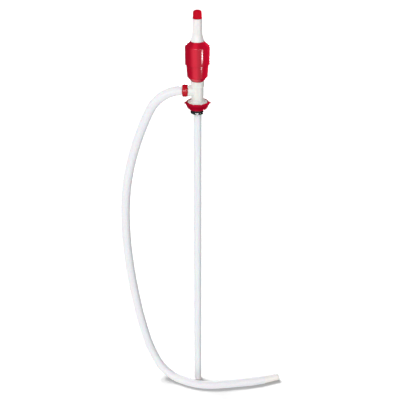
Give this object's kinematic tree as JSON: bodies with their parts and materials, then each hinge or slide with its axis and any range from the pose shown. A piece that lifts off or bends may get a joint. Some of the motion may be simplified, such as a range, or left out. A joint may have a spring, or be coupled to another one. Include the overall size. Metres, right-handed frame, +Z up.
{
  "type": "siphon drum pump",
  "caption": "Siphon drum pump primed by hand: red barrel and grip on a white tee, a suction tube through a winged bung adapter, and a discharge hose with a spout.",
  "frame": {"origin": "centre of the bung seat, on the pump's axis, at the underside of the adapter's gasket", "axes": "+Z up along the pump's axis, towards the air vent cap; the side port and its hose leave towards -X"},
  "size_m": [0.5006, 0.1074, 1.225],
  "materials": {
    "red_plastic": "satin, moulded",
    "white_plastic": "smooth, slightly translucent",
    "black_plastic": "glossy",
    "rubber": "matt",
    "red_rubber": "matt, moulded",
    "hose_plastic": "translucent, milky",
    "steel": "polished"
  },
  "bodies": {
    "adapter": {"bung_adapter": "red_plastic", "bung_gasket": "red_rubber"},
    "gland": {"gland_body": "black_plastic", "gland_seal": "rubber", "gland_collar": "black_plastic"},
    "pump": {"suction_tube": "white_plastic", "tee_body": "white_plastic", "tube_oring": "rubber", "intake_seat": "white_plastic", "ball_cage": "white_plastic", "outlet_seat": "white_plastic", "flap_pin": "steel", "hose_barb": "white_plastic", "hose_nut": "red_plastic", "discharge_hose": "hose_plastic", "nozzle": "white_plastic", "lower_barrel": "red_plastic", "upper_barrel": "red_plastic", "barrel_oring": "rubber", "rod_guide": "white_plastic", "rod_seal": "rubber"},
    "plunger": {"handle": "white_plastic", "plunger_tube": "white_plastic", "piston": "white_plastic", "piston_cup": "rubber", "piston_nut": "white_plastic"},
    "vent_stem": {"vent_plug": "white_plastic", "vent_oring": "rubber"},
    "vent_cap": {"vent_cap": "red_plastic"},
    "intake_ball": {"intake_ball": "steel"},
    "outlet_flap": {"outlet_flap": "rubber"}
  },
  "joints": [
    {"name": "adapter_swivel", "type": "hinge", "parent": "adapter", "child": "gland", "pos_m": [0, 0, 0], "axis": [0, 0, 1], "continuous": true},
    {"name": "depth_slide", "type": "slide", "parent": "gland", "child": "pump", "axis": [0, 0, 1], "range_m": [0, 0.4]},
    {"name": "plunger_slide", "type": "slide", "parent": "pump", "child": "plunger", "axis": [0, 0, 1], "range_m": [0, 0.06]},
    {"name": "vent_rise", "type": "slide", "parent": "plunger", "child": "vent_stem", "axis": [0, 0, 1], "range_m": [0, 0.004]},
    {"name": "vent_turn", "type": "hinge", "parent": "vent_stem", "child": "vent_cap", "pos_m": [0, 0, 0.236], "axis": [0, 0, 1], "range_deg": [0, 360]},
    {"name": "intake_ball_lift", "type": "slide", "parent": "pump", "child": "intake_ball", "axis": [0, 0, 1], "range_m": [0, 0.008]},
    {"name": "outlet_flap_swing", "type": "hinge", "parent": "pump", "child": "outlet_flap", "pos_m": [-0.0188, 0, 0.0476], "axis": [0, 1, 0], "range_deg": [0, 40]}
  ],
  "couplings": [
    {"joint": "vent_rise", "follows": "vent_turn", "m_per_rad": 0.000636}
  ]
}
